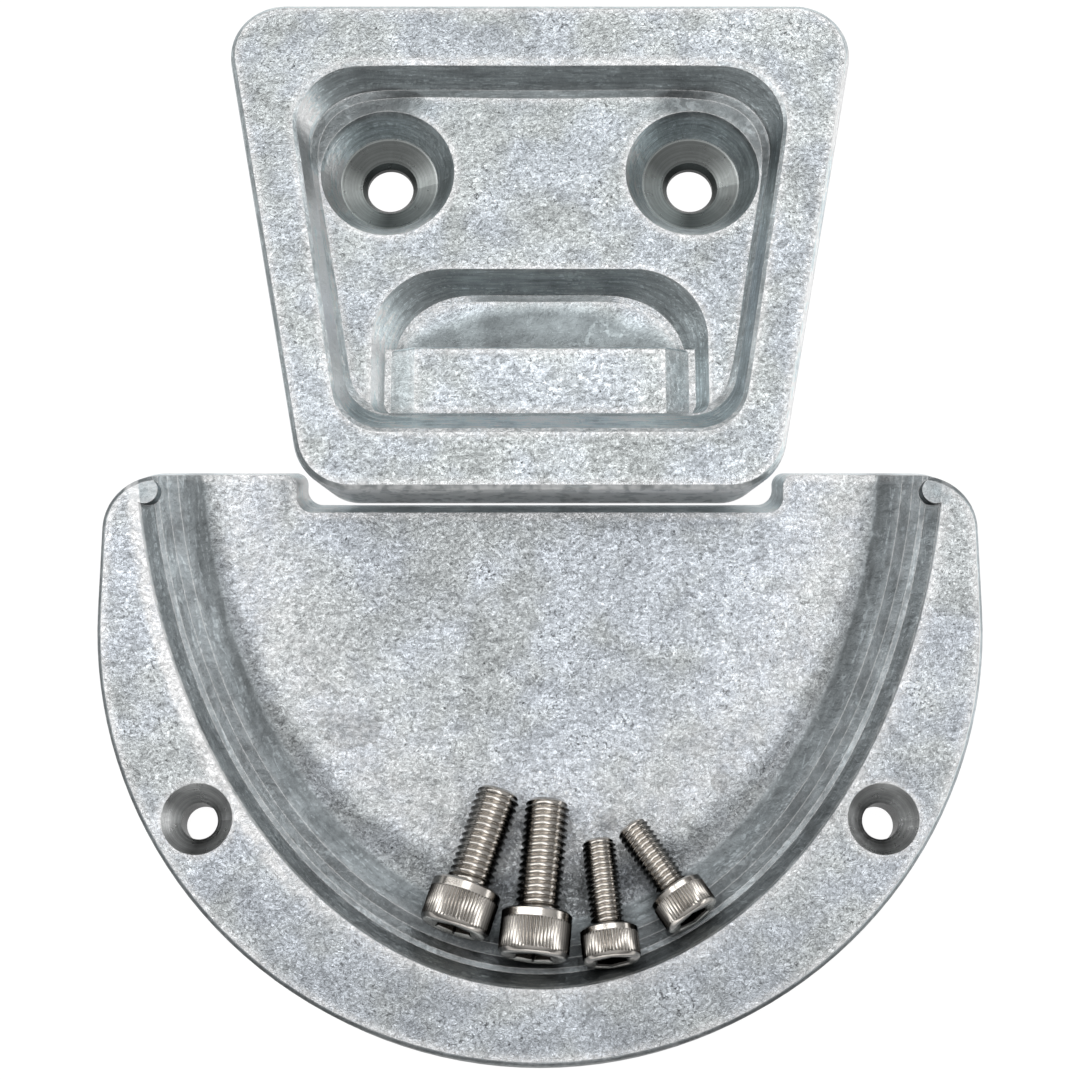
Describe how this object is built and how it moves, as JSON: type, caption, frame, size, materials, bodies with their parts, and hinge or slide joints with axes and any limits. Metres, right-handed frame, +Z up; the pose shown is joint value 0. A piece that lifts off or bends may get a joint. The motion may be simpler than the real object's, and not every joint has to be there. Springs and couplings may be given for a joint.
{
  "type": "sacrificial anode set",
  "caption": "Split cast hull anode: a pocketed tapered block that sits in the notch of a dished half-round plate, with loose socket-head screws.",
  "frame": {"origin": "middle of the whole set's footprint, on the plane of the flat mounting faces", "axes": "+X across the set, +Y from the half-round plate to the block, +Z up from the mounting faces to the faces that show"},
  "size_m": [0.1628, 0.2012, 0.0203],
  "materials": {
    "cast_block": "as-cast, mottled, with turned screw seats",
    "cast_plate": "as-cast, mottled, with turned countersinks",
    "screw_steel": "rolled thread, straight-knurled head"
  },
  "bodies": {
    "root": {"anode_block": "cast_block", "anode_plate": "cast_plate", "cap_screw_large_left": "screw_steel", "cap_screw_large_right": "screw_steel", "cap_screw_small_left": "screw_steel", "cap_screw_small_right": "screw_steel"}
  },
  "joints": []
}
